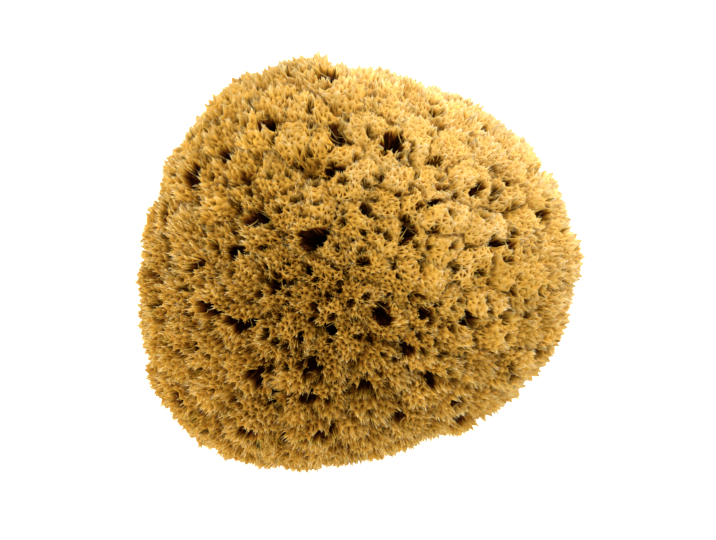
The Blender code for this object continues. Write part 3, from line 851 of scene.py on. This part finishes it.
thread_rng = np.random.default_rng(THREAD_SEED)
tips = roots + leans * tip_rises[:, None]
ends = []
for direction, width in pores:
    along = (on_form[standing] @ direction)[:, None]
    away = np.linalg.norm(on_form[standing] - along * direction, axis=1) - width / 2
    edge = standing[(along[:, 0] > 0) & (away > THREAD_EDGE[0]) & (away < THREAD_EDGE[1])]
    if len(edge) > LEAST_EDGE and width < WIDE_PORE:
        ends.append(thread_rng.choice(edge, (THREADS, 2)))
ends = np.concatenate(ends)
ends = ends[np.linalg.norm(on_form[ends[:, 0]] - on_form[ends[:, 1]], axis=1) > SHORTEST_THREAD]
here, there = ends.T
starts = tips[here] - THREAD_SUNK[0] * leans[here]
across = thread_rng.uniform(*THREAD_SPAN, len(ends))[:, None]
stops = starts + across * (tips[there] - THREAD_SUNK[1] * leans[there] - starts)
sags = -THREAD_SAG * sites[here] * thread_rng.uniform(*THREAD_SAGS, (len(ends), 1))
thread_widths = THREAD_WIDTH * thread_rng.uniform(*THREAD_WIDTHS, len(ends))
thread_shades = [np.full(len(ends), value) for value in THREAD_SHADES]
threads = strands(THREAD_RINGS, starts, stops, thread_widths, sags, thread_shades, tone_and_painted_light[here])
new_piece("threads", *threads)

# Cut
# The knife went straight through the felt, so the face that the sponge rests on is flat between open pits,
# and the wide canals that the sponge drank through run up into it.
CUT_SITES = 2200
CUT_SEED = 47
CUT_CLEARANCE = 1.3 * MM  # from the rim to the nearest of them
CANALS = 17
CANAL_FIELD = 36 * MM  # radius of the part of the cut that has them
CANAL_WIDTHS = (10 * MM, 6.5 * MM, 8 * MM, 5.5 * MM)  # taken in turn
CANAL_DEPTH = 15 * MM
CANAL_DEPTH_SPREAD = 0.3
CANAL_DEPTH_WAVE = 1.7
CANAL_FIRST_TURN = 0.4
CANAL_RAGGED = 0.8 * MM
CANAL_NOISE = (3 * MM, 51)
CUT_PIT_DEPTHS = (0.6 * MM, 5.0 * MM)
CUT_PIT_WIDTHS = (0.35, 0.92)
CUT_PIT_UNEVEN = (0.8, 1.08)
CUT_WEB_RISE = 0.9 * MM  # how far above the table the webs are where the felt tore
CUT_WEB_STRAY = 0.3 * MM
CUT_PORES = 420
CUT_PORE_RADII = (0.7 * MM, 2.0 * MM)
CUT_PORE_DEPTHS = (2 * MM, 7 * MM)
CUT_SHADE = 0.74  # of the fibre where the knife went through it
# painted shade up in the pits and canals: the height over which the shade falls by one
CUT_SHADE_DEPTH = 9.5 * MM
CUT_TONE = 0.5
CUT_TONE_DRIFT = 0.3
CUT_TONE_NOISE = (20 * MM, 52)
CUT_TONE_SPREAD = 0.15

cut_rng = np.random.default_rng(CUT_SEED)
rim_places = roots[:RIM_POINTS]
centre = rim_places.mean(axis=0)
rim_reach = np.linalg.norm(rim_places - centre, axis=1)
steps = np.arange(CUT_SITES)
reach = rim_reach.max() * np.sqrt((steps + 0.5) / CUT_SITES)
turn = GOLDEN_ANGLE * steps
spacing = rim_reach.max() * math.sqrt(math.pi / CUT_SITES)
inner = centre + np.stack([reach * np.cos(turn), reach * np.sin(turn), np.zeros(CUT_SITES)], axis=1)
inner[:, :2] += cut_rng.uniform(-TUFT_JITTER, TUFT_JITTER, (CUT_SITES, 2)) * spacing
rim_turn = np.arctan2(*(rim_places - centre)[:, 1::-1].T)
inner_turn = np.arctan2(*(inner - centre)[:, 1::-1].T)
room = np.interp(inner_turn, rim_turn, rim_reach, period=2 * math.pi)
inner = inner[np.linalg.norm(inner - centre, axis=1) < room - CUT_CLEARANCE]
cut_sites = np.concatenate([rim_places, inner])
cut_triangles = net_within_rim(cut_sites[:, :2], RIM_POINTS)
cut_pairs, cut_on_rim, cut_around, cut_faces = split_net(cut_triangles, len(cut_sites))

opened = np.zeros(len(cut_sites))
centres = cut_rng.uniform(-1, 1, (CUT_PORES, 2)) * rim_reach.max()
radii = cut_rng.uniform(*CUT_PORE_RADII, CUT_PORES)
depths = cut_rng.uniform(*CUT_PORE_DEPTHS, CUT_PORES)
for middle, radius, depth in zip(centres, radii, depths):
    opened = np.where(np.linalg.norm(cut_sites[:, :2] - middle, axis=1) < radius, depth, opened)
ragged = cut_sites[:, :2] + CANAL_RAGGED * soft_noise(cut_sites, *CANAL_NOISE)[:, :2]
for i in range(CANALS):
    distance = CANAL_FIELD * math.sqrt((i + 0.5) / CANALS)
    angle = GOLDEN_ANGLE * i + CANAL_FIRST_TURN
    middle = distance * np.array([math.cos(angle), math.sin(angle)])
    depth = CANAL_DEPTH * (1 + CANAL_DEPTH_SPREAD * math.sin(CANAL_DEPTH_WAVE * i))
    inside = np.linalg.norm(ragged - middle, axis=1) < CANAL_WIDTHS[i % len(CANAL_WIDTHS)] / 2
    opened = np.where(inside, depth, opened)
opened[:RIM_POINTS] = 0
cut_web = -low_mean(-opened[cut_pairs]) + CUT_WEB_RISE * cut_rng.random(len(cut_pairs)) ** 2
cut_web[cut_on_rim] = 0
cut_floor = -low_mean(-opened[cut_triangles])
cut_pit_share = cut_rng.random(len(cut_triangles))
cut_pit = cut_floor + between(CUT_PIT_DEPTHS, cut_pit_share)
cut_rise = np.concatenate([opened, cut_web, cut_pit])
cut_webs = cut_sites[cut_pairs].mean(axis=1)
cut_webs[:, :2] += CUT_WEB_STRAY * cut_rng.uniform(-1, 1, (len(cut_pairs), 2)) * ~cut_on_rim[:, None]
cut_ground = np.concatenate([cut_sites, cut_webs, cut_sites[cut_triangles].mean(axis=1)])
cut_pits = len(cut_sites) + len(cut_pairs) + np.arange(len(cut_triangles))
share = between(CUT_PIT_WIDTHS, cut_pit_share)[:, None, None]
share = share * cut_rng.uniform(*CUT_PIT_UNEVEN, (len(cut_triangles), 6, 1))
middle = cut_ground[cut_pits][:, None]
cut_mouths = (middle + share * (cut_ground[cut_around] - middle)).reshape(-1, 3)
mouth_rise = np.minimum(cut_floor[:, None], cut_rise[cut_around]).ravel()
cut_places = np.concatenate([cut_ground, cut_mouths])
cut_places[:, 2] = np.concatenate([cut_rise, mouth_rise])
# Painted shade, darker up in the pits and canals of the cut.
cut_shade = np.clip(CUT_SHADE - cut_places[:, 2] / CUT_SHADE_DEPTH, 0, 1)
cut_tone = CUT_TONE + CUT_TONE_DRIFT * soft_noise(cut_places, *CUT_TONE_NOISE)[:, 0]
cut_tone += cut_rng.uniform(-CUT_TONE_SPREAD, CUT_TONE_SPREAD, len(cut_places))
new_piece("cut", cut_places, cut_faces.reshape(-1, 3)[:, ::-1], cut_shade, np.clip(cut_tone, 0, 1))
